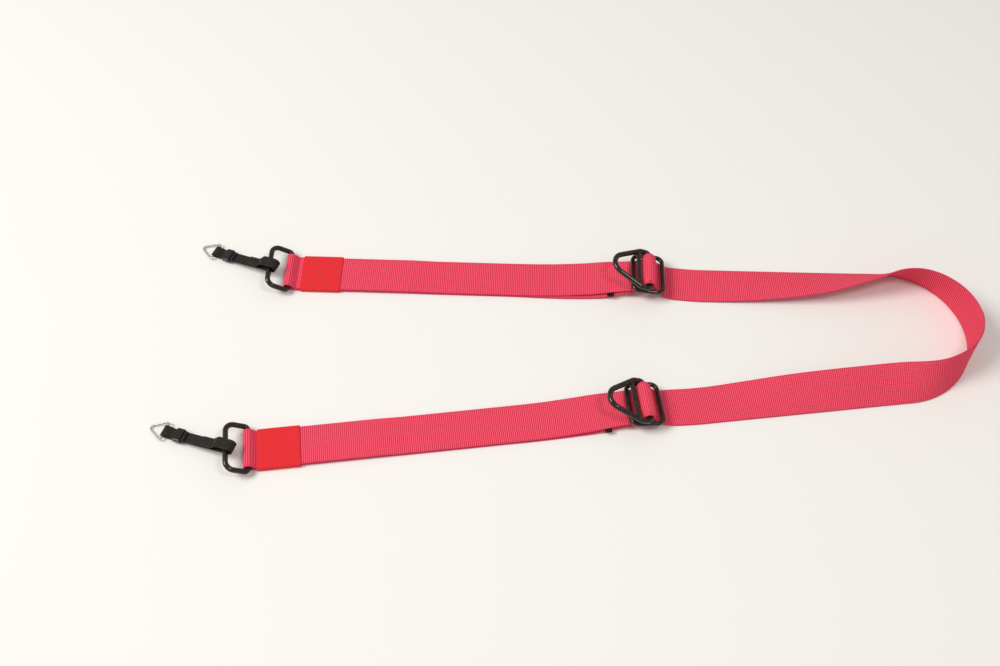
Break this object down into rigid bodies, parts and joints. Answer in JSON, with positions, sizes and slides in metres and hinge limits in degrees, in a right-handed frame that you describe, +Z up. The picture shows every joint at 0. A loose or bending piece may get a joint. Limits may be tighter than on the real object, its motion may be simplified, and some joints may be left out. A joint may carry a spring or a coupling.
{
  "type": "camera neck strap",
  "caption": "Flat webbing camera neck strap with wire lever adjusters, sleeved end loops, wire end rings and narrow connectors ending in triangular lug rings.",
  "frame": {"origin": "centre of the strap's box, on the table it lies on", "axes": "+Z up; +X along the strap from the camera connectors to the turn at the neck; +Y to the wearer's left strand"},
  "size_m": [0.5995, 0.2048, 0.03],
  "materials": {
    "webbing": "woven polyester webbing, matt, ribbed across",
    "twill": "tight twill tape, bright red",
    "black_wire": "semi-gloss black coated steel wire",
    "connector": "narrow black strap",
    "thread": "black thread",
    "black_plastic": "glossy black plastic",
    "lug_wire": "bright steel wire",
    "tab": "black sewn tab"
  },
  "bodies": {
    "strap": {"neck_webbing": "webbing", "loop_webbing_left": "webbing", "loop_webbing_right": "webbing"},
    "adjuster_left": {"adjuster_frame_left": "black_wire", "adjuster_crossing_left": "webbing", "anchor_loop_left": "webbing", "edge_tab_left": "tab"},
    "lever_left": {"lever_left": "black_wire"},
    "keeper_left": {"keeper_sleeve_left": "twill"},
    "ring_left": {"end_ring_left": "black_wire"},
    "connector_left": {"connector_strip_left": "connector", "connector_stitching_left": "thread"},
    "connector_slider_left": {"connector_keeper_left": "black_plastic"},
    "lug_ring_left": {"lug_ring_left": "lug_wire"},
    "adjuster_right": {"adjuster_frame_right": "black_wire", "adjuster_crossing_right": "webbing", "anchor_loop_right": "webbing", "edge_tab_right": "tab"},
    "lever_right": {"lever_right": "black_wire"},
    "keeper_right": {"keeper_sleeve_right": "twill"},
    "ring_right": {"end_ring_right": "black_wire"},
    "connector_right": {"connector_strip_right": "connector", "connector_stitching_right": "thread"},
    "connector_slider_right": {"connector_keeper_right": "black_plastic"},
    "lug_ring_right": {"lug_ring_right": "lug_wire"}
  },
  "joints": [
    {"name": "adjuster_slide_left", "type": "slide", "parent": "strap", "child": "adjuster_left", "axis": [0.9971, -0.0758, 0], "range_m": [-0.12, 0.03], "deforming": ["loop_webbing_left", "neck_webbing"]},
    {"name": "lever_tilt_left", "type": "hinge", "parent": "adjuster_left", "child": "lever_left", "pos_m": [0.06485, 0.053, 0.0152], "axis": [0.0758, 0.9971, 0], "range_deg": [-12, 90]},
    {"name": "keeper_slide_left", "type": "slide", "parent": "strap", "child": "keeper_left", "axis": [0.9971, -0.0758, 0], "range_m": [0, 0.05]},
    {"name": "ring_swing_left", "type": "hinge", "parent": "strap", "child": "ring_left", "pos_m": [-0.20797, 0.07175, 0.00435], "axis": [0.0758, 0.9971, 0], "range_deg": [-18, 70]},
    {"name": "connector_swing_left", "type": "hinge", "parent": "ring_left", "child": "connector_left", "pos_m": [-0.22221, 0.07283, 0.0126], "axis": [0.0758, 0.9971, 0], "range_deg": [-35, 45]},
    {"name": "connector_slider_left", "type": "slide", "parent": "connector_left", "child": "connector_slider_left", "axis": [-0.8838, 0.4378, -0.165], "range_m": [-0.014, 0.0015]},
    {"name": "lug_ring_swing_left", "type": "hinge", "parent": "connector_left", "child": "lug_ring_left", "pos_m": [-0.26618, 0.0946, 0.00282], "axis": [0.4439, 0.8961, 0], "range_deg": [-50, 50]},
    {"name": "adjuster_slide_right", "type": "slide", "parent": "strap", "child": "adjuster_right", "axis": [0.9971, 0.0758, 0], "range_m": [-0.12, 0.03], "deforming": ["loop_webbing_right", "neck_webbing"]},
    {"name": "lever_tilt_right", "type": "hinge", "parent": "adjuster_right", "child": "lever_right", "pos_m": [0.05062, -0.05917, 0.0127], "axis": [-0.0758, 0.9971, 0], "range_deg": [-12, 90]},
    {"name": "keeper_slide_right", "type": "slide", "parent": "strap", "child": "keeper_right", "axis": [0.9971, 0.0758, 0], "range_m": [0, 0.05]},
    {"name": "ring_swing_right", "type": "hinge", "parent": "strap", "child": "ring_right", "pos_m": [-0.22861, -0.08192, 0.00435], "axis": [-0.0758, 0.9971, 0], "range_deg": [-18, 70]},
    {"name": "connector_swing_right", "type": "hinge", "parent": "ring_right", "child": "connector_right", "pos_m": [-0.24285, -0.083, 0.0126], "axis": [-0.0758, 0.9971, 0], "range_deg": [-35, 45]},
    {"name": "connector_slider_right", "type": "slide", "parent": "connector_right", "child": "connector_slider_right", "axis": [-0.9102, 0.3798, -0.165], "range_m": [-0.014, 0.0015]},
    {"name": "lug_ring_swing_right", "type": "hinge", "parent": "connector_right", "child": "lug_ring_right", "pos_m": [-0.28813, -0.06411, 0.00282], "axis": [0.3851, 0.9229, 0], "range_deg": [-50, 50]}
  ]
}
